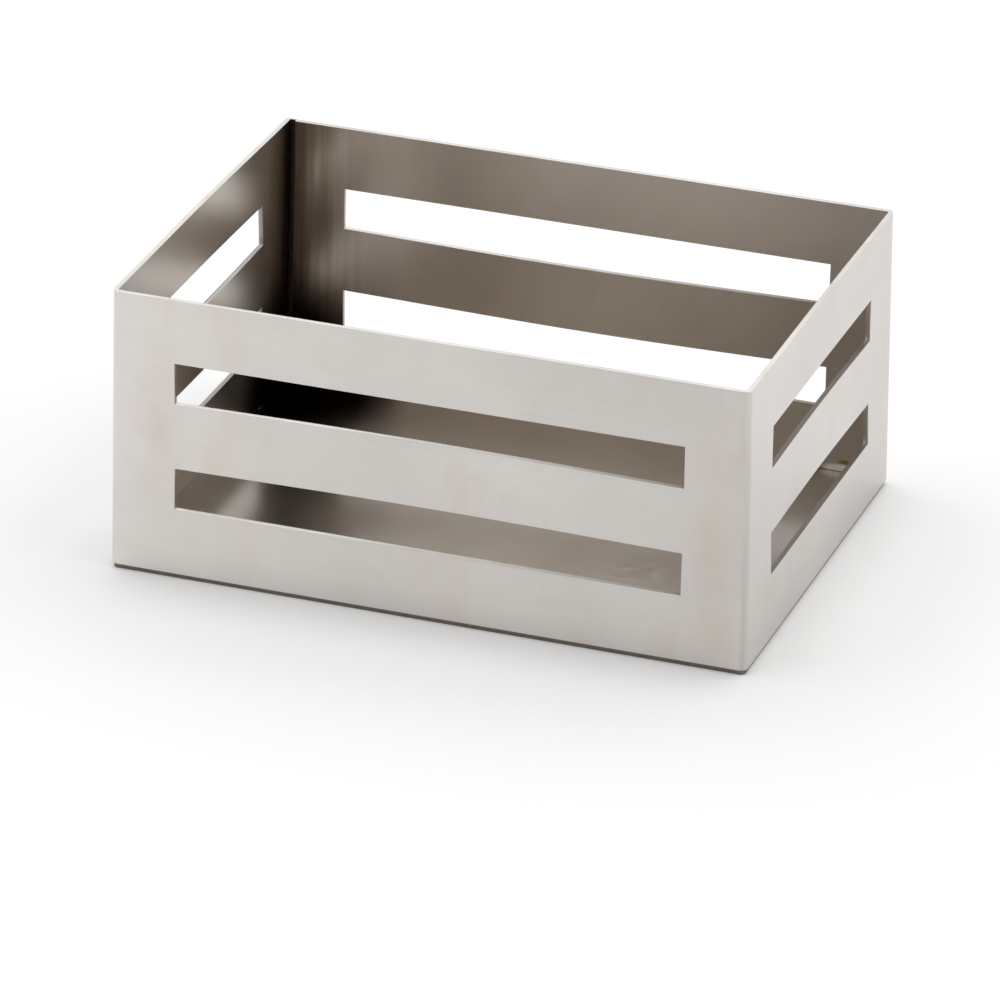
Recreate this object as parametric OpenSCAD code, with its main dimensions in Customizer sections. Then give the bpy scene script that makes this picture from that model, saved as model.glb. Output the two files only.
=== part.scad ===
// Open-top rectangular packet holder made of slotted sheet steel.
// One strip is folded into a four-sided wall band and stands on a flat base plate.
// X runs along the front wall, Y runs from front to back, Z is up.
// The origin is the middle of the base plate's underside.

/* [Wall band] */
// Outside length, across the two end walls
holder_length = 92; // [60:0.5:160]
// Outside depth, across the front and back walls
holder_depth = 66.5; // [50:0.5:120]
// Height of the wall band, from the base plate to the rim
wall_height = 41; // [36:0.5:70]
// Thickness of the sheet that the band is folded from
wall_sheet = 0.7; // [0.4:0.1:1.2]
// Inside radius of the three folded corners
fold_radius = 0.4; // [0.2:0.1:1.5]

/* [Slots] */
// Rows of slots, one above the other in every wall
slot_rows = 2; // [1:1:2]
// Height of each slot
slot_height = 6.05; // [3:0.05:8]
// Plain metal below the lowest row
bottom_band = 9.8; // [4:0.1:14]
// Plain metal between the rows
middle_band = 9.7; // [4:0.1:14]
// Plain metal from a corner to the end of a slot in the front and back walls
long_wall_margin = 9.6; // [5:0.1:20]
// Plain metal from a corner to the end of a slot in the end walls
end_wall_margin = 10.75; // [5:0.25:18]

/* [Base plate] */
// Thickness of the base plate
base_sheet = 0.7; // [0.4:0.1:1.5]
// Step from the outside of the walls in to the edge of the plate
base_inset = 0.3; // [0:0.05:0.5]

/* [Corner seam] */
// Open joint between the end of the back wall and the left end wall
seam_gap = 0.9; // [0.4:0.1:2]
// Depth of the weld that closes the joint, from the outside
seam_weld_depth = 0.3; // [0.2:0.05:0.4]

/* [Tack welds] */
// Length of each bead between a wall and the base plate
tack_length = 2; // [1.5:0.1:4]
// Leg of each bead, up the wall and out over the plate
tack_leg = 0.5; // [0.3:0.05:0.7]
// Middle of each bead from the inside of the nearest corner
tack_setback = 10.2; // [5:0.1:20]

/* [Hidden] */
$fn = 64;

// How far a cut runs past the sheet on each side
overrun = 1;

outer_fold_radius = fold_radius + wall_sheet;
inside_length = holder_length - 2 * wall_sheet;
inside_depth = holder_depth - 2 * wall_sheet;
slot_pitch = slot_height + middle_band;
cut_depth = wall_sheet + 2 * overrun;

// Left end of the back wall, where the strip stops short of the end wall
seam_start = -inside_length / 2;

// Rectangle about the origin with a round of this radius at each listed corner.
// A corner is a pair of signs, such as [1, -1] for the front right one.
module rounded_rectangle(length, depth, radius, round_corners, square_corners) {
    square([length - 2 * radius, depth], center = true);
    square([length, depth - 2 * radius], center = true);
    for (corner = round_corners)
        translate([corner.x * (length / 2 - radius), corner.y * (depth / 2 - radius)])
            circle(r = radius);
    for (corner = square_corners)
        translate([corner.x * (length - radius) / 2, corner.y * (depth - radius) / 2])
            square(radius, center = true);
}

// Outline of the strip's outer or inner face: three folds and one butt joint
module band_outline(length, depth, radius) {
    rounded_rectangle(length, depth, radius, [[-1, -1], [1, -1], [1, 1]], [[-1, 1]]);
}

// Gap between the end of the back wall and the left end wall, seen from above
module seam_outline(depth) {
    translate([seam_start, holder_depth / 2 - depth])
        square([seam_gap, depth]);
}

// The strip seen from above, standing on edge
module band_plan() {
    difference() {
        band_outline(holder_length, holder_depth, outer_fold_radius);
        band_outline(inside_length, inside_depth, fold_radius);
        seam_outline(wall_sheet);
    }
}

// Cuts for the rows of slots in one wall, which runs along X at Y = 0
module slot_cuts(wall_length, margin) {
    slot_length = wall_length - 2 * margin;
    for (row = [0 : slot_rows - 1])
        translate([-slot_length / 2, -cut_depth / 2, bottom_band + row * slot_pitch])
            cube([slot_length, cut_depth, slot_height]);
}

// Cuts for all four walls
module all_slot_cuts() {
    for (side = [-1, 1]) {
        translate([0, side * (holder_depth - wall_sheet) / 2, 0])
            slot_cuts(holder_length, long_wall_margin);
        translate([side * (holder_length - wall_sheet) / 2, 0, 0])
            rotate([0, 0, 90])
                slot_cuts(holder_depth, end_wall_margin);
    }
}

// One punched strip, folded at three corners
module wall_band() {
    color([0.80, 0.79, 0.77])
        translate([0, 0, base_sheet])
            difference() {
                linear_extrude(height = wall_height)
                    band_plan();
                all_slot_cuts();
            }
}

// Flat plate under the band, a little smaller than the walls
module base_plate() {
    plate_length = holder_length - 2 * base_inset;
    plate_depth = holder_depth - 2 * base_inset;
    corners = [for (x = [-1, 1], y = [-1, 1]) [x, y]];
    color([0.56, 0.54, 0.52])
        linear_extrude(height = base_sheet)
            rounded_rectangle(plate_length, plate_depth, outer_fold_radius - base_inset, corners, []);
}

// Weld that closes the butt joint from outside, full height, ground flush
module corner_seam_weld() {
    color([0.30, 0.26, 0.22])
        translate([0, 0, base_sheet])
            linear_extrude(height = wall_height)
                seam_outline(seam_weld_depth);
}

// One bead along X, in the corner between a wall face at Y = 0 and the plate at Z = 0.
// It lies on the -Y side of the wall face.
module tack_weld() {
    straight = tack_length - 2 * tack_leg;
    intersection() {
        union() {
            rotate([0, 90, 0])
                cylinder(r = tack_leg, h = straight, center = true);
            for (side = [-1, 1])
                translate([side * straight / 2, 0, 0])
                    sphere(r = tack_leg);
        }
        translate([-tack_length / 2, -tack_leg, 0])
            cube([tack_length, tack_leg, tack_leg]);
    }
}

// Two beads on the back wall of a space of this length and depth
module wall_tack_welds(length, depth) {
    for (side = [-1, 1])
        translate([side * (length / 2 - tack_setback), depth / 2, 0])
            tack_weld();
}

// Two beads on each wall, laid on the plate
module base_tack_welds() {
    color([0.62, 0.52, 0.36])
        translate([0, 0, base_sheet])
            for (turn = [0, 180]) {
                rotate([0, 0, turn])
                    wall_tack_welds(inside_length, inside_depth);
                rotate([0, 0, turn + 90])
                    wall_tack_welds(inside_depth, inside_length);
            }
}

wall_band();
base_plate();
corner_seam_weld();
base_tack_welds();
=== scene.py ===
from math import cos, hypot, pi, radians, sin, sqrt

import bmesh
import bpy
from mathutils import Matrix, Vector, noise


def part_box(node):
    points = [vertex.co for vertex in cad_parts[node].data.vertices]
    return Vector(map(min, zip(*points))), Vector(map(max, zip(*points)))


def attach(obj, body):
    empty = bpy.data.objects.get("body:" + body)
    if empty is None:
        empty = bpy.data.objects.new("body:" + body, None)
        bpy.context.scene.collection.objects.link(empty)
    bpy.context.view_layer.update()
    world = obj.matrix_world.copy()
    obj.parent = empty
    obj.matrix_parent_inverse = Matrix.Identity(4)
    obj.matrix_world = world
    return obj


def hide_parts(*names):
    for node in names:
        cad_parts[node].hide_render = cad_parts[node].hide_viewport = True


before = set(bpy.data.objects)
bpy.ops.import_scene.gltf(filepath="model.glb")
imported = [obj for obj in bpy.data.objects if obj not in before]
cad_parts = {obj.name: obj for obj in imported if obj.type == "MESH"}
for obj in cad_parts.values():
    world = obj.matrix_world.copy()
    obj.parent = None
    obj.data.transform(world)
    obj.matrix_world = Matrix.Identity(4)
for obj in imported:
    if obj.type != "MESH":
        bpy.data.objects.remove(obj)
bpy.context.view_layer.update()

# A packet holder folded from slotted sheet steel, rebuilt over its construction model.
# X runs along the front wall, Y from front to back and Z up, in metres.

MM = 0.001

# Lengths closer than this are the same, and grid marks closer than this are one
SAME_LENGTH = 0.01 * MM
LEAST_MARK_GAP = 0.002 * MM
LEVEL_DIGITS = 6

# Sizes read from the construction model
BAND_LOW, BAND_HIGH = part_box("wall_band")
PLATE_LOW, PLATE_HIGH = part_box("base_plate")
WELD_LOW, WELD_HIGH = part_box("corner_seam_weld")
TACK_LOW, TACK_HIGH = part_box("base_tack_welds")
SHEET = WELD_LOW.x - BAND_LOW.x
PLATE_THICKNESS = PLATE_HIGH.z - PLATE_LOW.z
TACK_LEG = TACK_HIGH.z - TACK_LOW.z
HALF_LENGTH = BAND_HIGH.x
HALF_DEPTH = BAND_HIGH.y
INSIDE_HALF_LENGTH = HALF_LENGTH - SHEET
INSIDE_HALF_DEPTH = HALF_DEPTH - SHEET


def node_points(node):
    """The corners of a construction node's mesh."""
    return [vertex.co.copy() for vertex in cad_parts[node].data.vertices]


def levels(values):
    """The different values among many, in rising order, to a thousandth of a millimetre."""
    return sorted({round(value, LEVEL_DIGITS) for value in values})


def is_near(value, target):
    """Whether two lengths are the same to a hundredth of a millimetre."""
    return abs(value - target) < SAME_LENGTH


BAND_POINTS = node_points("wall_band")
BAND_LEVELS = levels(point.z for point in BAND_POINTS)
SLOT_ROWS = [(BAND_LEVELS[i], BAND_LEVELS[i + 1]) for i in range(1, len(BAND_LEVELS) - 1, 2)]
FRONT_LEVELS = levels(abs(point.x) for point in BAND_POINTS if is_near(point.y, BAND_LOW.y))
SIDE_LEVELS = levels(abs(point.y) for point in BAND_POINTS if is_near(point.x, BAND_HIGH.x))
LONG_SLOT_HALF = FRONT_LEVELS[0]
END_SLOT_HALF = SIDE_LEVELS[0]
FOLD_RADIUS = HALF_LENGTH - FRONT_LEVELS[-1]

# How the sheet's cut edges are rounded over
EDGE_RADIUS = 0.07 * MM
EDGE_ANGLES = [radians(angle) for angle in (30, 60, 90)]
EDGE_STEPS = [EDGE_RADIUS * (1 - cos(angle)) for angle in EDGE_ANGLES] + [2 * EDGE_RADIUS]

# How far each wall has sprung inwards at the middle of its length: between its slots, and at its rim
FRONT_BOW = (0.85 * MM, 0.0)
BACK_BOW = (1.15 * MM, 0.0)
LEFT_BOW = (0.3 * MM, -0.25 * MM)
RIGHT_BOW = (0.3 * MM, 0.1 * MM)

# The sheet's slight waves
WAVE_HEIGHT = 0.03 * MM
WAVE_LENGTH = 24 * MM

# How far the end walls lean in at the rim
RIGHT_LEAN = 0.76 * MM
LEFT_LEAN = 0.37 * MM

# Spacing of the grids on the walls and the plate, and steps round a fold and a plate's corner
GRID_STEP = 1.6 * MM
PLATE_GRID_STEP = 3 * GRID_STEP
FOLD_STEPS = 8
CORNER_STEPS = 4

# Added to a count of steps before it is rounded, so that part of a step becomes a whole one
ROUNDING_UP = 0.49

# A sheet's materials, in order: its faces, and its cut edges that lie level or stand upright
OUTER_FACE, INNER_FACE, LEVEL_EDGE, UPRIGHT_EDGE = range(4)


# Small helpers for shapes

def smooth(value, low, high):
    """A smooth rise from 0 at low to 1 at high."""
    share = min(max((value - low) / (high - low), 0), 1)
    return share * share * (3 - 2 * share)


def edge_drop(distance):
    """How far a rounded edge has fallen below the sheet's face, this far in from the edge."""
    reach = max(EDGE_RADIUS - distance, 0)
    return EDGE_RADIUS - sqrt(max(EDGE_RADIUS ** 2 - reach ** 2, 0))


def marks_apart(marks):
    """The marks in rising order, without those that repeat the one before."""
    kept = []
    for mark in sorted(marks):
        if not kept or mark - kept[-1] > LEAST_MARK_GAP:
            kept.append(mark)
    return kept


def filled(marks, step):
    """The marks in rising order, with even ones between them, about as far apart as the step."""
    marks = marks_apart(marks)
    filled_marks = [marks[0]]
    for low, high in zip(marks, marks[1:]):
        count = max(1, round((high - low) / step + ROUNDING_UP))
        filled_marks += [low + (high - low) * (i + 1) / count for i in range(count)]
    return filled_marks


def add_piece(name, mesh, node, materials):
    """A closed mesh as a piece of the object, standing for one construction node."""
    bmesh.ops.recalc_face_normals(mesh, faces=mesh.faces)
    data = bpy.data.meshes.new(name)
    mesh.to_mesh(data)
    mesh.free()
    data.polygons.foreach_set("use_smooth", [True] * len(data.polygons))
    for material in materials:
        data.materials.append(material)
    piece = bpy.data.objects.new(name, data)
    bpy.context.scene.collection.objects.link(piece)
    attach(piece, "root")
    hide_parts(node)


def sheet_mesh(across, up, is_hole, edge_distance, place, thickness):
    """Sheet metal as one closed mesh, from a grid of marks across and up its outer face.

    is_hole says whether a point of the face is cut out, edge_distance how far a point is from the
    nearest cut edge, and place turns a point and its depth into a point in space.
    """
    mesh = bmesh.new()
    outer = {}
    inner = {}
    for i, u in enumerate(across):
        for j, v in enumerate(up):
            drop = edge_drop(edge_distance(u, v))
            outer[i, j] = mesh.verts.new(place(u, v, drop))
            inner[i, j] = mesh.verts.new(place(u, v, thickness - drop))
    cells = []
    for i in range(len(across) - 1):
        for j in range(len(up) - 1):
            if not is_hole((across[i] + across[i + 1]) / 2, (up[j] + up[j + 1]) / 2):
                cells.append((i, j))
    present = set(cells)
    for i, j in cells:
        ring = [(i, j), (i + 1, j), (i + 1, j + 1), (i, j + 1)]
        middle = (across[i] + across[i + 1]) / 2, (up[j] + up[j + 1]) / 2
        is_rounding = edge_distance(*middle) < EDGE_RADIUS
        is_upright = across[i + 1] - across[i] < up[j + 1] - up[j]
        rounding = UPRIGHT_EDGE if is_upright else LEVEL_EDGE
        outer_face = mesh.faces.new([outer[corner] for corner in ring])
        outer_face.material_index = rounding if is_rounding else OUTER_FACE
        inner_face = mesh.faces.new([inner[corner] for corner in reversed(ring)])
        inner_face.material_index = rounding if is_rounding else INNER_FACE
        neighbours = [(i, j - 1), (i + 1, j), (i, j + 1), (i - 1, j)]
        for side, neighbour in enumerate(neighbours):
            if neighbour not in present:
                first = ring[side]
                last = ring[(side + 1) % len(ring)]
                edge = mesh.faces.new([outer[last], outer[first], inner[first], inner[last]])
                edge.material_index = UPRIGHT_EDGE if side % 2 else LEVEL_EDGE
    unused = [vertex for vertex in mesh.verts if not vertex.link_faces]
    bmesh.ops.delete(mesh, geom=unused, context="VERTS")
    return mesh


# The wall band's strip, followed along its outside from the back left corner

class Wall:
    """A straight wall of the strip, seen from above."""

    def __init__(self, offset, start, end, bow):
        self.offset = offset
        self.start = Vector(start)
        self.direction = (Vector(end) - self.start).normalized()
        self.length = (Vector(end) - self.start).length
        self.middle_bow, self.rim_bow = bow

    def at(self, distance):
        """The place this far along the outer face, and the direction that points outwards there."""
        normal = Vector((self.direction.y, -self.direction.x))
        return self.start + self.direction * distance, normal

    def inward(self, distance, z):
        """How far the wall is sprung inwards at this place, none at its corners and its foot."""
        place = 2 * distance / self.length - 1
        rise = smooth(z, *SLOT_ROWS[0])
        fall = smooth(z, *SLOT_ROWS[-1])
        depth = rise * (self.middle_bow + (self.rim_bow - self.middle_bow) * fall)
        outside, _ = self.at(distance)
        wave = 0.5 + 0.5 * noise.noise(Vector((outside.x, outside.y, z)) / WAVE_LENGTH)
        return (1 - place * place) ** 2 * (depth + WAVE_HEIGHT * wave)

    def slot_span(self):
        """Where this wall's slots start and end along the strip."""
        is_long = abs(self.direction.x) > abs(self.direction.y)
        half = LONG_SLOT_HALF if is_long else END_SLOT_HALF
        middle = self.offset - self.start.dot(self.direction)
        return middle - half, middle + half


class Fold:
    """A quarter turn of the strip about an upright line, seen from above."""

    def __init__(self, offset, centre, first_angle):
        self.offset = offset
        self.centre = Vector(centre)
        self.first_angle = first_angle
        self.length = FOLD_RADIUS * pi / 2

    def at(self, distance):
        """The place this far round the outer face, and the direction that points outwards there."""
        angle = self.first_angle + distance / FOLD_RADIUS
        normal = Vector((cos(angle), sin(angle)))
        return self.centre + normal * FOLD_RADIUS, normal

    def inward(self, distance, z):
        """A fold keeps its place."""
        return 0


def strip_sections():
    """Four walls and the three folds between them."""
    x = HALF_LENGTH
    y = HALF_DEPTH
    x_turn = x - FOLD_RADIUS
    y_turn = y - FOLD_RADIUS
    plan = [
        (Wall, (-x, y), (-x, -y_turn), LEFT_BOW),
        (Fold, (-x_turn, -y_turn), pi),
        (Wall, (-x_turn, -y), (x_turn, -y), FRONT_BOW),
        (Fold, (x_turn, -y_turn), 1.5 * pi),
        (Wall, (x, -y_turn), (x, y_turn), RIGHT_BOW),
        (Fold, (x_turn, y_turn), 0),
        (Wall, (x_turn, y), (WELD_HIGH.x, y), BACK_BOW),
    ]
    sections = []
    offset = 0
    for kind, *shape in plan:
        sections.append(kind(offset, *shape))
        offset += sections[-1].length
    return sections


SECTIONS = strip_sections()
STRIP_LENGTH = SECTIONS[-1].offset + SECTIONS[-1].length


def section_at(u):
    """The section of the strip that this length along it falls in."""
    for section in SECTIONS:
        if u <= section.offset + section.length:
            return section
    return SECTIONS[-1]


def wall_slots():
    """Each slot as (start, end, bottom, top) on the flat strip."""
    walls = [section for section in SECTIONS if isinstance(section, Wall)]
    return [(*wall.slot_span(), *row) for wall in walls for row in SLOT_ROWS]


SLOTS = wall_slots()


def leaned(x, y, z):
    """The point moved with its end wall, which leans in at the rim and not at the foot."""
    height = (z - BAND_LOW.z) / (BAND_HIGH.z - BAND_LOW.z)
    near_end = smooth(abs(x), LONG_SLOT_HALF, HALF_LENGTH - FOLD_RADIUS)
    lean = RIGHT_LEAN if x > 0 else -LEFT_LEAN
    return Vector((x - lean * height * near_end, y, z))


def strip_point(u, v, depth):
    """A point of the wall band from its place on the flat strip and its depth in the sheet."""
    section = section_at(u)
    distance = u - section.offset
    outside, normal = section.at(distance)
    point = outside - normal * (depth + section.inward(distance, v))
    return leaned(point.x, point.y, v)


def strip_edge_distance(u, v):
    """How far a point of the flat strip is from its nearest cut edge."""
    nearest = min(u, STRIP_LENGTH - u, v - BAND_LOW.z, BAND_HIGH.z - v)
    for start, end, bottom, top in SLOTS:
        sideways = max(start - u, 0, u - end)
        upwards = max(bottom - v, 0, v - top)
        nearest = min(nearest, hypot(sideways, upwards))
    return nearest


def in_slot(u, v):
    """Whether a point of the flat strip is cut out."""
    return any(start < u < end and bottom < v < top for start, end, bottom, top in SLOTS)


def wall_band(materials):
    """The punched and folded strip."""
    across = [0, STRIP_LENGTH]
    across += EDGE_STEPS
    across += [STRIP_LENGTH - step for step in EDGE_STEPS]
    for start, end, bottom, top in SLOTS:
        across += [start, end]
        across += [start - step for step in EDGE_STEPS]
        across += [end + step for step in EDGE_STEPS]
    for section in SECTIONS:
        if isinstance(section, Fold):
            across += [section.offset + section.length * i / FOLD_STEPS for i in range(FOLD_STEPS + 1)]
    up = [BAND_LOW.z, BAND_HIGH.z]
    up += [BAND_LOW.z + step for step in EDGE_STEPS]
    up += [BAND_HIGH.z - step for step in EDGE_STEPS]
    for bottom, top in SLOT_ROWS:
        up += [bottom, top]
        up += [bottom - step for step in EDGE_STEPS]
        up += [top + step for step in EDGE_STEPS]
    mesh = sheet_mesh(filled(across, GRID_STEP), filled(up, GRID_STEP), in_slot,
                      strip_edge_distance, strip_point, SHEET)
    add_piece("wall_band_sheet", mesh, "wall_band", materials)


# The base plate

def corner_radius(node):
    """The radius of a plate's corners, from where its long straight edge ends."""
    low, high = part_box(node)
    front = [abs(point.x) for point in node_points(node) if is_near(point.y, low.y)]
    return high.x - max(front)


PLATE_CORNER = corner_radius("base_plate")


def plate_point(u, v, depth):
    """A point of the plate, with the corners of its grid drawn round."""
    x_turn = PLATE_HIGH.x - PLATE_CORNER
    y_turn = PLATE_HIGH.y - PLATE_CORNER
    x_share = max(abs(u) - x_turn, 0) / PLATE_CORNER
    y_share = max(abs(v) - y_turn, 0) / PLATE_CORNER
    x = abs(u)
    y = abs(v)
    if x_share > 0 and y_share > 0:
        x = x_turn + PLATE_CORNER * x_share * sqrt(1 - y_share ** 2 / 2)
        y = y_turn + PLATE_CORNER * y_share * sqrt(1 - x_share ** 2 / 2)
    return Vector((x if u > 0 else -x, y if v > 0 else -y, PLATE_LOW.z + depth))


def plate_edge_distance(u, v):
    """How far a point of the plate is from its outline."""
    point = plate_point(u, v, 0)
    x_past = abs(point.x) - (PLATE_HIGH.x - PLATE_CORNER)
    y_past = abs(point.y) - (PLATE_HIGH.y - PLATE_CORNER)
    if x_past > 0 and y_past > 0:
        return max(PLATE_CORNER - hypot(x_past, y_past), 0)
    return max(PLATE_CORNER - max(x_past, y_past), 0)


def plate_marks(half):
    """Grid marks across the plate, close together at its rim and its corners."""
    marks = [half - step for step in [0] + EDGE_STEPS]
    marks += [half - PLATE_CORNER * i / CORNER_STEPS for i in range(CORNER_STEPS + 1)]
    return filled([-mark for mark in marks] + marks, PLATE_GRID_STEP)


def base_plate(materials):
    """The flat plate that the band stands on."""
    mesh = sheet_mesh(plate_marks(PLATE_HIGH.x), plate_marks(PLATE_HIGH.y), lambda u, v: False,
                      plate_edge_distance, plate_point, PLATE_THICKNESS)
    add_piece("base_plate_sheet", mesh, "base_plate", materials)


# The welds

RIPPLE_LENGTH = 0.55 * MM
RIPPLE_HEIGHT = 0.06 * MM
RIPPLE_STEPS = 6
WELD_SPANS = 6

# The seam weld's materials, in order: its rippled root, and its faces that are ground flush
WELD_ROOT, GROUND_FACE = range(2)

# A tack's steps along and round it, and how much its ripples and its ends draw it in
TACK_STATIONS = 24
TACK_ARC_STEPS = 6
TACK_RIPPLE = 0.08
TACK_TAPER = 0.9

# A little more than a tack's leg, to find its points near a wall
TACK_SEARCH_REACH = 1.01 * TACK_LEG


def is_ground(point):
    """Whether a point of the seam weld lies outside or at the rim, where it is ground flush."""
    return is_near(point.y, WELD_HIGH.y) or is_near(point.z, WELD_HIGH.z)


def seam_bead(materials):
    """The weld in the butt joint: left rippled inside, and ground flush outside and at the rim."""
    mesh = bmesh.new()
    marks = filled([WELD_LOW.z, WELD_HIGH.z], RIPPLE_LENGTH / RIPPLE_STEPS)
    rings = []
    for z in marks:
        ripple = abs(sin(pi * z / RIPPLE_LENGTH))
        ring = [leaned(WELD_LOW.x, WELD_HIGH.y, z), leaned(WELD_HIGH.x, WELD_HIGH.y, z)]
        for i in range(WELD_SPANS + 1):
            share = i / WELD_SPANS
            crown = 4 * share * (1 - share)
            x = WELD_HIGH.x + (WELD_LOW.x - WELD_HIGH.x) * share
            y = WELD_LOW.y + RIPPLE_HEIGHT * (1 - crown * ripple)
            ring.append(leaned(x, y, z))
        rings.append([mesh.verts.new(point) for point in ring])
    join_rings(mesh, rings)
    for face in mesh.faces:
        is_ground_face = all(is_ground(vertex.co) for vertex in face.verts)
        face.material_index = GROUND_FACE if is_ground_face else WELD_ROOT
    add_piece("corner_seam_bead", mesh, "corner_seam_weld", materials)


def join_rings(mesh, rings):
    """A closed skin through rings of vertices, with a cap on each end."""
    for first, second in zip(rings, rings[1:]):
        for i in range(len(first)):
            k = (i + 1) % len(first)
            mesh.faces.new([first[i], first[k], second[k], second[i]])
    mesh.faces.new(rings[0])
    mesh.faces.new(list(reversed(rings[-1])))


def tack_span(across_axis, along_axis, wall_face):
    """Where the beads on one pair of walls start and end, from the middle of the wall."""
    points = [point for point in node_points("base_tack_welds")
              if abs(point[across_axis]) > wall_face - TACK_SEARCH_REACH]
    along = [abs(point[along_axis]) for point in points]
    return min(along), max(along)


def add_tack(mesh, middle, length, turn):
    """One bead in the corner between a wall's foot and the plate, turned to face its wall."""
    rings = []
    for i in range(TACK_STATIONS + 1):
        share = 2 * i / TACK_STATIONS - 1
        ripple = 1 - TACK_RIPPLE * abs(sin(pi * share * length / (2 * RIPPLE_LENGTH)))
        reach = TACK_LEG * ripple * sqrt(1 - TACK_TAPER * share * share)
        ring = [Vector((share * length / 2, 0, 0))]
        for k in range(TACK_ARC_STEPS + 1):
            angle = pi / 2 * k / TACK_ARC_STEPS
            ring.append(Vector((share * length / 2, -reach * cos(angle), reach * sin(angle))))
        rings.append([mesh.verts.new(middle + turn @ point) for point in ring])
    join_rings(mesh, rings)


def tack_beads(material):
    """Two short beads on each wall."""
    mesh = bmesh.new()
    long_span = tack_span(1, 0, INSIDE_HALF_DEPTH)
    end_span = tack_span(0, 1, INSIDE_HALF_LENGTH)
    for side in (-1, 1):
        for wall in (-1, 1):
            turn = Matrix.Rotation(0 if wall > 0 else pi, 3, "Z")
            middle = Vector((side * sum(long_span) / 2, wall * INSIDE_HALF_DEPTH, TACK_LOW.z))
            add_tack(mesh, middle, long_span[1] - long_span[0], turn)
            turn = Matrix.Rotation(-pi / 2 if wall > 0 else pi / 2, 3, "Z")
            middle = Vector((wall * INSIDE_HALF_LENGTH, side * sum(end_span) / 2, TACK_LOW.z))
            add_tack(mesh, middle, end_span[1] - end_span[0], turn)
    add_piece("base_tack_beads", mesh, "base_tack_welds", [material])


# Small helpers for materials

def add_node(tree, kind, inputs=None, **settings):
    """A node with its settings, and its inputs joined to sockets or set to values."""
    node = tree.nodes.new(kind)
    for name, value in settings.items():
        setattr(node, name, value)
    for key, value in (inputs or {}).items():
        if isinstance(value, bpy.types.NodeSocket):
            tree.links.new(value, node.inputs[key])
        else:
            node.inputs[key].default_value = value
    return node


def calculate(tree, operation, first, second=0.0):
    """The result of a sum on one or two values."""
    node = add_node(tree, "ShaderNodeMath", {0: first, 1: second}, operation=operation)
    return node.outputs[0]


def remap(tree, value, low, high, to_low, to_high):
    """The value carried from one range to another, and held at its ends."""
    inputs = {"Value": value, "From Min": low, "From Max": high, "To Min": to_low, "To Max": to_high}
    return add_node(tree, "ShaderNodeMapRange", inputs).outputs["Result"]


def blend_colours(tree, share, first, second):
    """The first colour, with this share of the second."""
    inputs = {"Fac": share, "Color1": first, "Color2": second}
    return add_node(tree, "ShaderNodeMixRGB", inputs).outputs["Color"]


def stretched(tree, vector, scale):
    """The vector scaled along each axis by itself."""
    inputs = {"Vector": vector, "Scale": scale}
    return add_node(tree, "ShaderNodeMapping", inputs).outputs["Vector"]


def noise_field(tree, vector, scale, detail, roughness):
    """Cloudy noise from 0 to 1, most of it within NOISE_SPAN."""
    inputs = {"Vector": vector, "Scale": scale, "Detail": detail, "Roughness": roughness}
    return add_node(tree, "ShaderNodeTexNoise", inputs).outputs[0]


def object_place(tree):
    """Where each point is in the object's own frame."""
    return add_node(tree, "ShaderNodeTexCoord").outputs["Object"]


def new_material(name):
    """A new material, its node tree and its shader."""
    material = bpy.data.materials.new(name)
    material.use_nodes = True
    return material, material.node_tree, material.node_tree.nodes["Principled BSDF"]


def toned(tree, colour, factor):
    """The colour made lighter or darker by a factor that can change from place to place."""
    inputs = {0: colour, "Scale": factor}
    return add_node(tree, "ShaderNodeVectorMath", inputs, operation="SCALE").outputs["Vector"]


def scaled(colour, factor):
    """The colour times a factor, with its alpha."""
    return tuple(channel * factor for channel in colour) + (1.0,)


def separated(tree, vector):
    """The vector's X, Y and Z."""
    return add_node(tree, "ShaderNodeSeparateXYZ", {"Vector": vector}).outputs


def distance_from(tree, place, middle, mirrored):
    """How far each point is from a place, along the axes that the place names.

    Where mirrored, the place stands at all four corners.
    """
    apart = separated(tree, place)
    parts = []
    for axis, centre in zip("XYZ", middle):
        part = apart[axis]
        if mirrored and axis != "Z":
            part = calculate(tree, "ABSOLUTE", part)
        if centre is not None:
            parts.append(calculate(tree, "SUBTRACT", part, centre))
        else:
            parts.append(0.0)
    away = add_node(tree, "ShaderNodeCombineXYZ", dict(zip("XYZ", parts)))
    length = add_node(tree, "ShaderNodeVectorMath", {0: away.outputs[0]}, operation="LENGTH")
    return length.outputs["Value"]


# Colours of the metal and of its marks
STEEL = (0.652, 0.622, 0.592)
INSIDE_STEEL = (0.645, 0.588, 0.530)
# The level cut edges: light, partly as a painted highlight, and then their painted shade
LIT_EDGE_STEEL = (0.80, 0.775, 0.74)
SHADED_EDGE_STEEL = (0.23, 0.205, 0.18)
SLOT_END_STEEL = (0.40, 0.36, 0.32)
WARM_STEEL = (0.60, 0.51, 0.43)
# Grey painted as shade along the front wall's right fold
FOLD_SHADE_STEEL = (0.36, 0.34, 0.32)
SMEARED_STEEL = (0.80, 0.78, 0.75)
STRAW = (0.36, 0.26, 0.12)
BURNT = (0.110, 0.070, 0.034)
# Near-black painted shade round the foot of the back left corner
CORNER_SHADE = (0.030, 0.018, 0.009)
# Bright colour painted as a highlight at the back wall's foot
HIGHLIGHT_STEEL = (0.95, 0.91, 0.86)
GOLD = (0.32, 0.20, 0.05)

# Dark and light colours of oxidised, cut and ground metal, the cut metal partly painted shade
# The plate's cut edge: its own darker colour, made darker still as painted shade under the walls
SHADED_CUT_METAL = ((0.12, 0.10, 0.08), (0.26, 0.23, 0.20))
GROUND_METAL = ((0.50, 0.46, 0.41), (0.70, 0.66, 0.61))
SEAM_METAL = ((0.03, 0.025, 0.02), (0.12, 0.09, 0.07))
TACK_METAL = ((0.35, 0.25, 0.12), (0.70, 0.58, 0.40))

# Where nearly all of a noise field's values lie
NOISE_SPAN = (0.3, 0.7)

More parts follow.
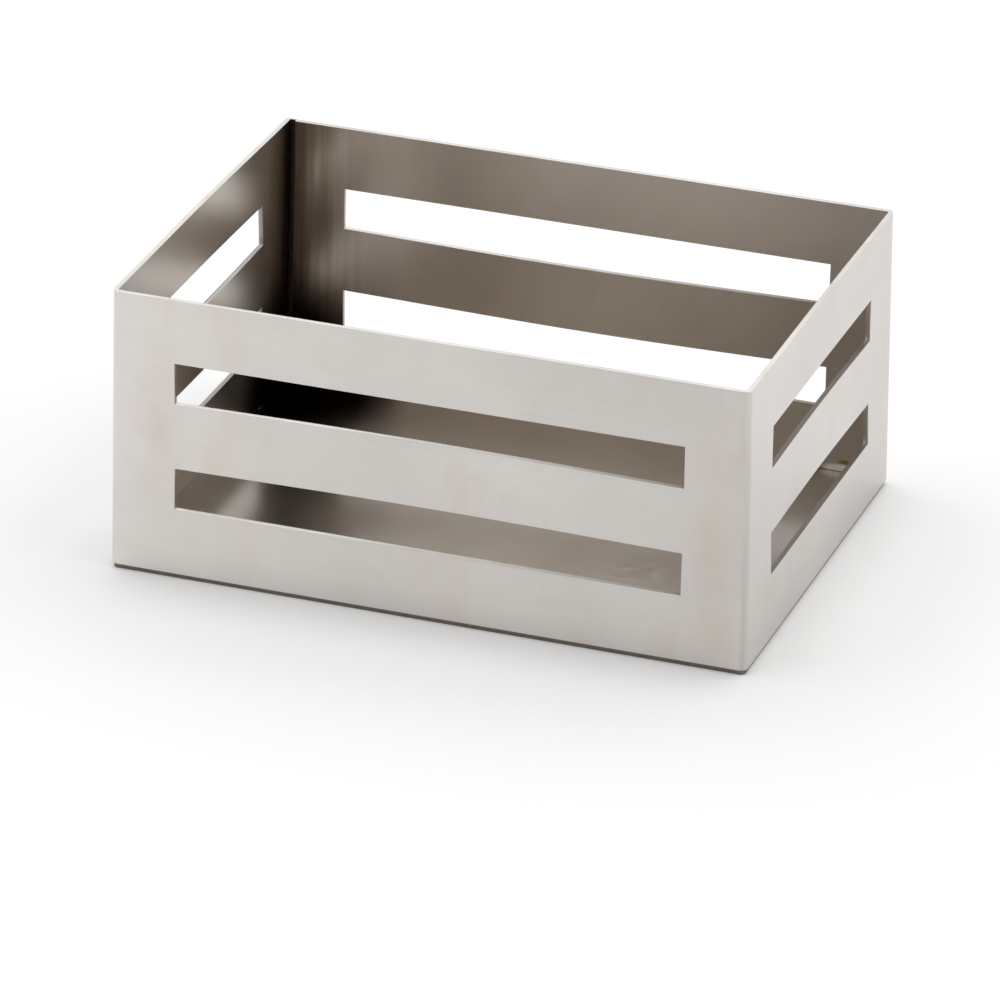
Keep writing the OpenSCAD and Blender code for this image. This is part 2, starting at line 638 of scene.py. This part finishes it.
# Brushing: its lines, its soft clouds and its warmer patches
LINE_WIDTH = 0.3 * MM
LINE_LENGTH = 60 * MM
LINE_BUMP = 0.5
OUTSIDE_LINE_DEPTH = 0.0012 * MM
INSIDE_LINE_DEPTH = 0.0001 * MM
ROUGHNESS_CHANGE = 0.02
CLOUD_WIDTH = 26 * MM
DARKEST = 0.92
LIGHTEST = 1.08
PATCH_WIDTH = 9 * MM
PATCH_STRETCH = (1, 1, 0.5)
PATCH_SPAN = (0.52, 0.9)
PATCH_STRENGTH = 0.7
PATCH_LIFT = 1.05

# The direction that the brushed gloss is drawn out in, nearly upright
GLOSS_DIRECTION = {"X": 0.01, "Y": 0.03, "Z": 1.0}

# Mottling and grain of welds and cut edges
MOTTLE_WIDTH = 0.8 * MM
MOTTLE_ROUGHNESS = 0.08
GRAIN_WIDTH = 0.12 * MM
GRAIN_DEPTH = 0.03 * MM
GRAIN_BUMP = 0.3

# Stains on the front wall, beside the slots and at a corner:
# (X, Z, half width, half height, strength)
FRONT_STAINS = [
    (-LONG_SLOT_HALF - 2.3 * MM, 22 * MM, 5 * MM, 17 * MM, 0.45),
    (LONG_SLOT_HALF + 4 * MM, 24 * MM, 5 * MM, 18 * MM, 0.5),
    (HALF_LENGTH - 4 * MM, 5 * MM, 5 * MM, 5 * MM, 0.6),
]
BLOTCH_SPREAD = (0.2, 1.3)

# Painted light and shade, as factors of the steel's colour, changing slowly across the walls
# Painted light at the front wall's left end and painted shade at its right end
FRONT_LEFT_LIGHT = 1.09
FRONT_RIGHT_SHADE = 0.90
# Painted light that lifts the front wall's foot, fading out at FRONT_FOOT_HEIGHT
FRONT_FOOT_LIGHTENING = 1.11
FRONT_FOOT_HEIGHT = 12 * MM
# Painted shade towards the outside's right end, over the right folds and the right wall
RIGHT_FOLD_SHADE = 0.93
# Painted shade on the inside towards the right, and where it starts
INSIDE_RIGHT_SHADE = 0.72
INSIDE_SHADE_START = 5 * MM
# Painted shade on the sills of the end walls
SILL_SHADING = 0.6
# Painted shade blended in along the front wall's right fold, and its width
FOLD_SHADING = 0.45
FOLD_SHADE_WIDTH = 1.2 * MM

# Tints of heat round the tacks and along the corner seam, in which streaks run upright, and the reach of
# the painted shade round the seam's foot
TACK_TINT_REACH = 2.2 * MM
TACK_TINT_CORE = TACK_TINT_REACH / 3
TACK_TINT = 0.6
BACK_TINT_REACH = 18 * MM
LEFT_TINT_REACH = 8.5 * MM
SEAM_TINT_CORE = 0.1
SEAM_TINT = 0.9
STREAK_SPREAD = (0.75, 1.1)
# Painted shade round the corner seam's foot: full to its core, gone at its reach
CORNER_SHADE_CORE = 11.5 * MM
CORNER_SHADE_REACH = 19.5 * MM
STREAK_WIDTH = 1.1 * MM

# The back wall's foot near its right end, painted bright as a highlight and tinted gold above:
# (X, Z, half width, half height), and where its edge starts and ends as shares of these
HIGHLIGHT_PATCH = (39.3 * MM, BAND_LOW.z + 0.4 * MM, 3 * MM, 0.7 * MM)
GOLD_PATCH = (40.3 * MM, BAND_LOW.z + 1.5 * MM, 1.6 * MM, 0.35 * MM)
SOFT_EDGE = (0.7, 1.2)
HIGHLIGHT_PATCH_ROUGHENING = 0.35

# A dried smear and a spray of specks on the base plate
SMEAR_MIDDLE = (22.5 * MM, -9 * MM, None)
SMEAR_REACH = 5.5 * MM
SMEAR_SWIRL = 6 * MM
SMEAR_RIDGE = 0.08
SMEAR_STRENGTH = 0.14
SPECK_APART = 1.6 * MM
SPECK_RADIUS = 0.16 * MM
SPECKS_MIDDLE = (-40 * MM, -8 * MM, None)
SPECKS_REACH = 12 * MM
SPECK_STRENGTH = 0.5
MARK_ROUGHENING = 0.3


def tack_middles():
    """The middle of a bead on a long wall and of one on an end wall, at the positive corner."""
    on_long_wall = sum(tack_span(1, 0, INSIDE_HALF_DEPTH)) / 2
    on_end_wall = sum(tack_span(0, 1, INSIDE_HALF_LENGTH)) / 2
    return [(on_long_wall, INSIDE_HALF_DEPTH, TACK_LOW.z), (INSIDE_HALF_LENGTH, on_end_wall, TACK_LOW.z)]


def with_corner_shade(tree, place, colour):
    """The colour with near-black painted shade round the foot of the corner seam."""
    away = distance_from(tree, place, (WELD_LOW.x, WELD_LOW.y, TACK_LOW.z), False)
    shade_share = remap(tree, away, CORNER_SHADE_CORE, CORNER_SHADE_REACH, 1.0, 0.0)
    return blend_colours(tree, shade_share, colour, CORNER_SHADE + (1.0,))


def with_weld_tints_and_corner_shade(tree, place, colour):
    """The colour with straw marks round the tacks, burnt streaks along the corner seam, and painted
    shade round the seam's foot.
    """
    for middle in tack_middles():
        away = distance_from(tree, place, middle, True)
        share = remap(tree, away, TACK_TINT_CORE, TACK_TINT_REACH, TACK_TINT, 0.0)
        colour = blend_colours(tree, share, colour, STRAW + (1.0,))
    squeezed = stretched(tree, place, (1 / BACK_TINT_REACH, 1 / LEFT_TINT_REACH, 1.0))
    seam = (WELD_LOW.x / BACK_TINT_REACH, WELD_LOW.y / LEFT_TINT_REACH, None)
    away = distance_from(tree, squeezed, seam, False)
    upright = stretched(tree, place, (1 / STREAK_WIDTH, 1 / STREAK_WIDTH, 1 / CLOUD_WIDTH))
    streaks = noise_field(tree, upright, 1.0, detail=3.0, roughness=0.5)
    near = remap(tree, away, SEAM_TINT_CORE, 1.0, SEAM_TINT, 0.0)
    share = calculate(tree, "MULTIPLY", near, remap(tree, streaks, *NOISE_SPAN, *STREAK_SPREAD))
    colour = blend_colours(tree, share, colour, BURNT + (1.0,))
    return with_corner_shade(tree, place, colour)


def patch_share(tree, place, patch):
    """Where a soft-edged patch (X, Z, half width, half height) lies on the back wall."""
    x, z, half_width, half_height = patch
    squeezed = stretched(tree, place, (1 / half_width, 1 / HALF_DEPTH, 1 / half_height))
    away = distance_from(tree, squeezed, (x / half_width, None, z / half_height), False)
    depth = separated(tree, place)["Y"]
    on_back = remap(tree, depth, INSIDE_HALF_DEPTH - SHEET, INSIDE_HALF_DEPTH, 0.0, 1.0)
    return calculate(tree, "MULTIPLY", remap(tree, away, *SOFT_EDGE, 1.0, 0.0), on_back)


def with_front_stains_and_painted_light(tree, place, colour):
    """The colour with the front wall's painted light falling to painted shade from left to right, a
    painted lightening at its foot, its warm stains, and painted shade at and beyond its right fold.
    """
    apart = separated(tree, place)
    across = apart["X"]
    on_front = remap(tree, apart["Y"], -HALF_DEPTH, FOLD_RADIUS - HALF_DEPTH, 1.0, 0.0)
    # Painted light and shade: lighter at the front wall's left end, darker at its right end
    tone = remap(tree, across, -HALF_LENGTH, HALF_LENGTH, FRONT_LEFT_LIGHT - 1, FRONT_RIGHT_SHADE - 1)
    # Painted light: the front wall's foot is made lighter
    foot = remap(tree, apart["Z"], BAND_LOW.z, FRONT_FOOT_HEIGHT, FRONT_FOOT_LIGHTENING - 1, 0.0)
    tone = calculate(tree, "MULTIPLY", calculate(tree, "ADD", tone, foot), on_front)
    # Painted shade: darker from the right fold onwards
    right = remap(tree, across, HALF_LENGTH - FOLD_RADIUS, HALF_LENGTH, 1.0, RIGHT_FOLD_SHADE)
    colour = toned(tree, colour, calculate(tree, "ADD", tone, right))
    blotches = noise_field(tree, place, 1 / PATCH_WIDTH, detail=4.0, roughness=0.6)
    blotches = remap(tree, blotches, *NOISE_SPAN, *BLOTCH_SPREAD)
    for x, z, half_width, half_height, strength in FRONT_STAINS:
        scale = (1 / half_width, 1 / HALF_LENGTH, 1 / half_height)
        squeezed = stretched(tree, place, scale)
        middle = (x / half_width, None, z / half_height)
        away = distance_from(tree, squeezed, middle, False)
        share = calculate(tree, "MULTIPLY", remap(tree, away, 0.0, 1.0, strength, 0.0), on_front)
        share = calculate(tree, "MULTIPLY", share, blotches)
        colour = blend_colours(tree, share, colour, WARM_STEEL + (1.0,))
    # Painted shade: dull grey blended in along the right fold
    fold_shade_share = remap(tree, across, HALF_LENGTH - FOLD_SHADE_WIDTH, HALF_LENGTH - FOLD_RADIUS / 2,
                       0.0, FOLD_SHADING)
    fold_shade_share = calculate(tree, "MULTIPLY", fold_shade_share, on_front)
    return blend_colours(tree, fold_shade_share, colour, FOLD_SHADE_STEEL + (1.0,))


def plate_marks_share(tree, place):
    """Where the base plate has its dried smear and its specks."""
    away = distance_from(tree, place, SMEAR_MIDDLE, False)
    swirl = noise_field(tree, place, 1 / SMEAR_SWIRL, detail=2.0, roughness=0.5)
    ridges = calculate(tree, "ABSOLUTE", calculate(tree, "SUBTRACT", swirl, sum(NOISE_SPAN) / 2))
    smear = calculate(tree, "MULTIPLY", remap(tree, ridges, 0.0, SMEAR_RIDGE, SMEAR_STRENGTH, 0.0),
                      remap(tree, away, SMEAR_REACH / 2, SMEAR_REACH, 1.0, 0.0))
    cells = add_node(tree, "ShaderNodeTexVoronoi", {"Vector": place, "Scale": 1 / SPECK_APART})
    away = distance_from(tree, place, SPECKS_MIDDLE, False)
    spread = remap(tree, away, SPECKS_REACH / 2, SPECKS_REACH, 1.0, 0.0)
    near = SPECK_RADIUS / SPECK_APART
    specks = remap(tree, cells.outputs["Distance"], near / 2, near, SPECK_STRENGTH, 0.0)
    return calculate(tree, "MAXIMUM", smear, calculate(tree, "MULTIPLY", specks, spread))


def brushed_steel(name, steel, roughness, brushing, line_share, line_depth):
    """Sheet steel brushed along the walls, with soft cloudy patches.

    Returns the material, its node tree, shader, place, colour and roughness, for wear and painted light
    and shade to be added.
    """
    material, tree, shader = new_material(name)
    place = object_place(tree)
    along = stretched(tree, place, (1 / LINE_LENGTH, 1 / LINE_LENGTH, 1 / LINE_WIDTH))
    lines = noise_field(tree, along, 1.0, detail=3.0, roughness=0.6)
    clouds = noise_field(tree, place, 1 / CLOUD_WIDTH, detail=4.0, roughness=0.55)
    tall = stretched(tree, place, PATCH_STRETCH)
    patches = noise_field(tree, tall, 1 / PATCH_WIDTH, detail=3.0, roughness=0.6)
    shade = calculate(tree, "ADD", calculate(tree, "MULTIPLY", lines, line_share),
                      calculate(tree, "MULTIPLY", clouds, 1 - line_share))
    lightness = remap(tree, shade, *NOISE_SPAN, 0.0, 1.0)
    colour = blend_colours(tree, lightness, scaled(steel, DARKEST), scaled(steel, LIGHTEST))
    warmth = remap(tree, patches, *PATCH_SPAN, 0.0, PATCH_STRENGTH)
    colour = blend_colours(tree, warmth, colour, scaled(WARM_STEEL, PATCH_LIFT))
    smoothest = roughness - ROUGHNESS_CHANGE
    roughest = roughness + ROUGHNESS_CHANGE
    spread = remap(tree, clouds, *NOISE_SPAN, smoothest, roughest)
    bump_inputs = {"Height": lines, "Strength": LINE_BUMP, "Distance": line_depth}
    bump = add_node(tree, "ShaderNodeBump", bump_inputs)
    lay = add_node(tree, "ShaderNodeCombineXYZ", GLOSS_DIRECTION)
    tree.links.new(bump.outputs["Normal"], shader.inputs["Normal"])
    tree.links.new(lay.outputs["Vector"], shader.inputs["Tangent"])
    shader.inputs["Metallic"].default_value = 1.0
    shader.inputs["Anisotropic"].default_value = brushing
    return material, tree, shader, place, colour, spread


def outside_steel():
    """The band's outer face, with the front wall's stains and its painted light and shade."""
    material, tree, shader, place, colour, spread = brushed_steel(
        "brushed_outside", STEEL, roughness=0.30, brushing=0.75, line_share=0.2,
        line_depth=OUTSIDE_LINE_DEPTH)
    tree.links.new(with_front_stains_and_painted_light(tree, place, colour), shader.inputs["Base Color"])
    tree.links.new(spread, shader.inputs["Roughness"])
    return material


def inside_steel():
    """The band's inner face, with painted shade towards the right, the marks of its welds, painted shade
    round the corner seam's foot, and a bright strip painted as a highlight at the back wall's foot.
    """
    material, tree, shader, place, colour, spread = brushed_steel(
        "brushed_inside", INSIDE_STEEL, roughness=0.30, brushing=0.4, line_share=0.05,
        line_depth=INSIDE_LINE_DEPTH)
    across = separated(tree, place)["X"]
    # Painted shade: the inside grows darker towards the right
    colour = toned(tree, colour, remap(tree, across, INSIDE_SHADE_START, HALF_LENGTH, 1.0, INSIDE_RIGHT_SHADE))
    colour = with_weld_tints_and_corner_shade(tree, place, colour)
    # Painted highlight: a bright strip at the back wall's foot near its right end, with its roughness
    # raised
    ground = patch_share(tree, place, HIGHLIGHT_PATCH)
    colour = blend_colours(tree, ground, colour, HIGHLIGHT_STEEL + (1.0,))
    colour = blend_colours(tree, patch_share(tree, place, GOLD_PATCH), colour, GOLD + (1.0,))
    tree.links.new(colour, shader.inputs["Base Color"])
    roughening = calculate(tree, "MULTIPLY", ground, HIGHLIGHT_PATCH_ROUGHENING)
    tree.links.new(calculate(tree, "ADD", spread, roughening), shader.inputs["Roughness"])
    return material


def edge_steel():
    """The cut edges that lie level: rims and sills light in their own colour and a painted highlight,
    with the sills fading to painted shade towards the right and on the end walls, and painted shade
    round the corner seam's foot.
    """
    material, tree, shader, place, colour, spread = brushed_steel(
        "wall_edges", LIT_EDGE_STEEL, roughness=0.55, brushing=0.0, line_share=0.0,
        line_depth=INSIDE_LINE_DEPTH)
    apart = separated(tree, place)
    below_rim = remap(tree, apart["Z"], SLOT_ROWS[-1][-1], BAND_HIGH.z - SHEET, 1.0, 0.0)
    to_right = remap(tree, apart["X"], -LONG_SLOT_HALF / 2, INSIDE_HALF_LENGTH, 0.0, 1.0)
    sideways = calculate(tree, "ABSOLUTE", apart["X"])
    on_end = remap(tree, sideways, INSIDE_HALF_LENGTH - SHEET, INSIDE_HALF_LENGTH, 0.0, SILL_SHADING)
    share = calculate(tree, "MULTIPLY", below_rim, calculate(tree, "MAXIMUM", to_right, on_end))
    # Painted highlight on the sills, fading to painted shade towards the right and on the end walls
    colour = blend_colours(tree, share, colour, SHADED_EDGE_STEEL + (1.0,))
    tree.links.new(with_corner_shade(tree, place, colour), shader.inputs["Base Color"])
    tree.links.new(spread, shader.inputs["Roughness"])
    return material


def slot_end_steel():
    """The cut edges that stand upright, left dark."""
    material, tree, shader, _, colour, spread = brushed_steel(
        "slot_ends", SLOT_END_STEEL, roughness=0.45, brushing=0.0, line_share=0.0,
        line_depth=INSIDE_LINE_DEPTH)
    tree.links.new(colour, shader.inputs["Base Color"])
    tree.links.new(spread, shader.inputs["Roughness"])
    return material


def plate_steel():
    """The plate's faces, smoother than the walls, with marks of heat, painted shade round the corner
    seam's foot, a smear and specks.
    """
    material, tree, shader, place, colour, spread = brushed_steel(
        "base_sheet", INSIDE_STEEL, roughness=0.21, brushing=0.2, line_share=0.05,
        line_depth=INSIDE_LINE_DEPTH)
    colour = with_weld_tints_and_corner_shade(tree, place, colour)
    marks = plate_marks_share(tree, place)
    colour = blend_colours(tree, marks, colour, SMEARED_STEEL + (1.0,))
    tree.links.new(colour, shader.inputs["Base Color"])
    roughening = calculate(tree, "MULTIPLY", marks, MARK_ROUGHENING)
    tree.links.new(calculate(tree, "ADD", spread, roughening), shader.inputs["Roughness"])
    return material


def weld_metal(name, colours, roughness, in_corner_shade=False):
    """Rough metal, mottled, with fine grain, and with painted shade round the corner seam's foot where
    asked.
    """
    material, tree, shader = new_material(name)
    dark, light = colours
    place = object_place(tree)
    mottle = noise_field(tree, place, 1 / MOTTLE_WIDTH, detail=4.0, roughness=0.6)
    grain = noise_field(tree, place, 1 / GRAIN_WIDTH, detail=2.0, roughness=0.5)
    colour = blend_colours(tree, mottle, dark + (1.0,), light + (1.0,))
    if in_corner_shade:
        colour = with_corner_shade(tree, place, colour)
    smoothest = roughness - MOTTLE_ROUGHNESS
    roughest = roughness + MOTTLE_ROUGHNESS
    spread = remap(tree, mottle, *NOISE_SPAN, smoothest, roughest)
    bump_inputs = {"Height": grain, "Strength": GRAIN_BUMP, "Distance": GRAIN_DEPTH}
    bump = add_node(tree, "ShaderNodeBump", bump_inputs)
    tree.links.new(colour, shader.inputs["Base Color"])
    tree.links.new(spread, shader.inputs["Roughness"])
    tree.links.new(bump.outputs["Normal"], shader.inputs["Normal"])
    shader.inputs["Metallic"].default_value = 1.0
    return material


# The stage: floor, light and camera

# The floor in metres, its paint, and the glow that the camera and reflections see of it
FLOOR_HALF = 4.0
FLOOR_CELLS = 8
FLOOR_PAINT = 0.90
FLOOR_LIFT = 0.11

# The softbox in metres, above and a little behind the object, and its power in watts
LAMP_LENGTH = 2.6
LAMP_WIDTH = 1.9
LAMP_HEIGHT = 1.3
LAMP_BACK = 0.3
LAMP_LEFT = 0.1
LAMP_POWER = 18.7

# The room's level, and its soft glows and shades, with angles in degrees:
# (turn from the front towards the right, rise from level, reach, strength)
ROOM_LEVEL = 0.70
RIGHT_WALL = (103, 20, 43, 0.43)
BACK_CEILING = (164, 64, 37, 0.10)
CAMERA_SIDE = (17, 25, 46, -0.52)
FRONT_CEILING = (0, 68, 35, -0.45)
BACK_DOORWAY = (172, 18, 32, -0.40)
OVERHEAD = (180, 78, 38, -0.58)
ROOM_GLOWS = [RIGHT_WALL, BACK_CEILING, CAMERA_SIDE, FRONT_CEILING, BACK_DOORWAY, OVERHEAD]

# The photograph's view: turned round Z, raised above the floor, and rolled about its line of sight
CAMERA_TURN = radians(18.897)
CAMERA_RISE = radians(25.200)
CAMERA_ROLL = radians(1.180)
CAMERA_DISTANCE = 1036.34 * MM
CAMERA_ASIDE = -0.66 * MM
CAMERA_LIFT = 2.70 * MM
SENSOR_WIDTH = 36.0
CAMERA_LENS = 7.410 * SENSOR_WIDTH
CAMERA_NEAREST = 0.05
CAMERA_FURTHEST = 50


def floor_white(name):
    """White floor that keeps the shadow, and shows as plain white away from the object."""
    material, tree, shader = new_material(name)
    tree.nodes.remove(shader)
    paint = add_node(tree, "ShaderNodeBsdfDiffuse", {"Color": (FLOOR_PAINT,) * 3 + (1.0,)})
    path = add_node(tree, "ShaderNodeLightPath")
    seen = calculate(tree, "MAXIMUM", path.outputs["Is Camera Ray"], path.outputs["Is Glossy Ray"])
    seen = calculate(tree, "MAXIMUM", seen, path.outputs["Is Transmission Ray"])
    lift = calculate(tree, "MULTIPLY", seen, FLOOR_LIFT)
    glow = add_node(tree, "ShaderNodeEmission", {"Color": (1, 1, 1, 1), "Strength": lift})
    both = add_node(tree, "ShaderNodeAddShader", {0: paint.outputs[0], 1: glow.outputs[0]})
    tree.links.new(both.outputs[0], tree.nodes["Material Output"].inputs["Surface"])
    return material


def floor():
    """A wide level floor, which no body carries."""
    mesh = bmesh.new()
    bmesh.ops.create_grid(mesh, x_segments=FLOOR_CELLS, y_segments=FLOOR_CELLS, size=FLOOR_HALF)
    data = bpy.data.meshes.new("floor")
    mesh.to_mesh(data)
    mesh.free()
    data.materials.append(floor_white("floor_white"))
    ground = bpy.data.objects.new("floor", data)
    bpy.context.scene.collection.objects.link(ground)


def softbox():
    """One large lamp that faces the object."""
    lamp = bpy.data.lights.new("softbox", "AREA")
    lamp.shape = "RECTANGLE"
    lamp.size = LAMP_LENGTH
    lamp.size_y = LAMP_WIDTH
    lamp.energy = LAMP_POWER
    holder = bpy.data.objects.new("softbox", lamp)
    holder.location = (-LAMP_LEFT, LAMP_BACK, LAMP_HEIGHT)
    holder.rotation_mode = "QUATERNION"
    holder.rotation_quaternion = (-holder.location).to_track_quat("-Z", "Y")
    bpy.context.scene.collection.objects.link(holder)


def direction_at(turn, rise):
    """The direction turned this far from the front towards the right, and raised from level."""
    return Vector((sin(turn) * cos(rise), -cos(turn) * cos(rise), sin(rise)))


def soft_glow(tree, direction, turn, rise, reach, level):
    """A round glow or shade of the surroundings, strongest at its middle and gone at its reach."""
    middle = direction_at(turn, rise)
    towards = add_node(tree, "ShaderNodeVectorMath", {0: direction, 1: middle}, operation="DOT_PRODUCT")
    inputs = {"Value": towards.outputs["Value"], "From Min": cos(reach), "From Max": 1.0,
              "To Min": 0.0, "To Max": level}
    fade = add_node(tree, "ShaderNodeMapRange", inputs, interpolation_type="SMOOTHSTEP")
    return fade.outputs["Result"]


def sky():
    """A plain pale room, lighter at the right, and darker round the camera, overhead and behind."""
    world = bpy.data.worlds.new("studio")
    bpy.context.scene.world = world
    world.use_nodes = True
    tree = world.node_tree
    direction = add_node(tree, "ShaderNodeTexCoord").outputs["Generated"]
    level = ROOM_LEVEL
    for turn, rise, reach, strength in ROOM_GLOWS:
        glow = soft_glow(tree, direction, radians(turn), radians(rise), radians(reach), strength)
        level = calculate(tree, "ADD", glow, level)
    background = tree.nodes["Background"]
    background.inputs["Color"].default_value = (1, 1, 1, 1)
    tree.links.new(calculate(tree, "MAXIMUM", level, 0.0), background.inputs["Strength"])


def camera():
    """The camera at the photograph's viewing angle."""
    back = direction_at(CAMERA_TURN, CAMERA_RISE)
    level = Vector((0, 0, 1)).cross(back).normalized()
    upright = back.cross(level)
    right = level * cos(CAMERA_ROLL) + upright * sin(CAMERA_ROLL)
    up = upright * cos(CAMERA_ROLL) - level * sin(CAMERA_ROLL)
    data = bpy.data.cameras.new("camera")
    data.sensor_width = SENSOR_WIDTH
    data.lens = CAMERA_LENS
    data.clip_start = CAMERA_NEAREST
    data.clip_end = CAMERA_FURTHEST
    eye = bpy.data.objects.new("camera", data)
    target = Vector((0, 0, BAND_LOW.z))
    place = target + back * CAMERA_DISTANCE + right * CAMERA_ASIDE + up * CAMERA_LIFT
    eye.matrix_world = Matrix((
        (right.x, up.x, back.x, place.x),
        (right.y, up.y, back.y, place.y),
        (right.z, up.z, back.z, place.z),
        (0, 0, 0, 1),
    ))
    bpy.context.scene.collection.objects.link(eye)
    bpy.context.scene.camera = eye


bpy.context.scene.view_settings.view_transform = "Standard"
camera()
floor()
softbox()
sky()
wall_band([outside_steel(), inside_steel(), edge_steel(), slot_end_steel()])
plate_metal = plate_steel()
# The plate's edges, dark partly as painted shade under the walls
plate_edge = weld_metal("base_cut_edge", SHADED_CUT_METAL, roughness=0.45)
base_plate([plate_metal, plate_metal, plate_edge, plate_edge])
ground_weld = weld_metal("ground_weld", GROUND_METAL, roughness=0.4)
seam_bead([weld_metal("seam_weld", SEAM_METAL, roughness=0.5), ground_weld])
# The tack beads take the painted shade round the corner seam's foot
tack_beads(weld_metal("tack_weld", TACK_METAL, roughness=0.4, in_corner_shade=True))
